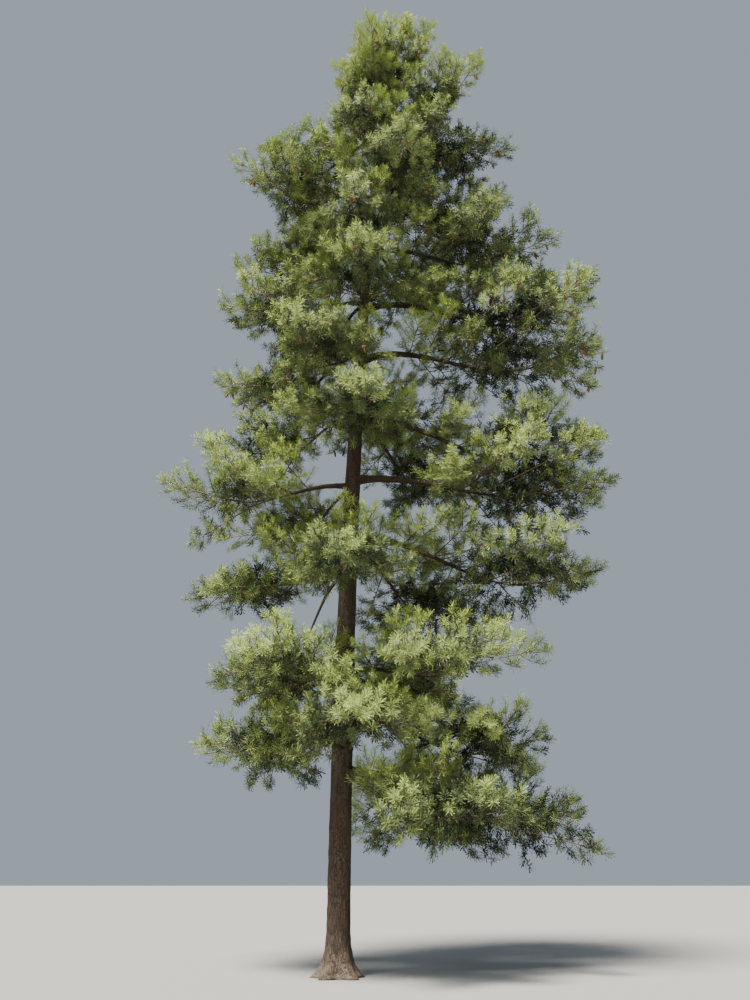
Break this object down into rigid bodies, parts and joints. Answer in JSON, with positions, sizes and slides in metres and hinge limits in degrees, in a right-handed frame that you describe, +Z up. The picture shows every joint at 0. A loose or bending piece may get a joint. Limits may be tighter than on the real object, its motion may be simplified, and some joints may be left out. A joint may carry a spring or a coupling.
{
  "type": "macedonian pine tree",
  "caption": "Tall Macedonian pine rooted in the ground, with a leaning tapering trunk, a root flare, and tiers of boughs whose plumes of needles turn up towards a narrow top with many tips.",
  "frame": {"origin": "middle of the flat cut under the trunk, at ground level", "axes": "+Z up along the tree, +X to the right as seen from the front, -Y towards the front, where the picture was taken from"},
  "size_m": [8.7911, 6.9475, 21.2164],
  "materials": {
    "bark": "rough, plated bark",
    "limb_bark": "rough bark",
    "needles": "matt needles"
  },
  "bodies": {
    "root": {"trunk": "bark", "bough_limb_1": "limb_bark", "bough_limb_2": "limb_bark", "bough_limb_3": "limb_bark", "bough_arm_1": "limb_bark", "bough_arm_3": "limb_bark", "bough_crown_1": "limb_bark", "bough_crown_3": "limb_bark", "bough_hanging": "limb_bark", "mass_skirt_1": "needles", "mass_skirt_2": "needles", "mass_skirt_3": "needles", "mass_base_1": "needles", "mass_base_2": "needles", "mass_base_3": "needles", "mass_base_4": "needles", "mass_low_1": "needles", "mass_low_2": "needles", "mass_low_3": "needles", "mass_low_4": "needles", "mass_swag_1": "needles", "mass_swag_2": "needles", "mass_swag_3": "needles", "mass_swag_4": "needles", "mass_limb_1": "needles", "mass_limb_2": "needles", "mass_limb_3": "needles", "mass_arm_1": "needles", "mass_arm_2": "needles", "mass_arm_3": "needles", "mass_arm_4": "needles", "mass_middle_1": "needles", "mass_middle_2": "needles", "mass_middle_3": "needles", "mass_middle_4": "needles", "mass_upper_1": "needles", "mass_upper_2": "needles", "mass_upper_3": "needles", "mass_upper_4": "needles", "mass_crown_1": "needles", "mass_crown_2": "needles", "mass_crown_3": "needles", "mass_crown_4": "needles", "mass_high_1": "needles", "mass_high_2": "needles", "mass_high_3": "needles", "mass_high_4": "needles", "mass_shoulder_1": "needles", "mass_shoulder_2": "needles", "mass_shoulder_3": "needles", "mass_shoulder_4": "needles", "mass_peak_1": "needles", "mass_peak_2": "needles", "mass_peak_3": "needles", "mass_peak_4": "needles", "mass_head_1": "needles", "mass_head_2": "needles", "mass_head_3": "needles", "mass_hanging": "needles", "mass_leader": "needles"}
  },
  "joints": []
}
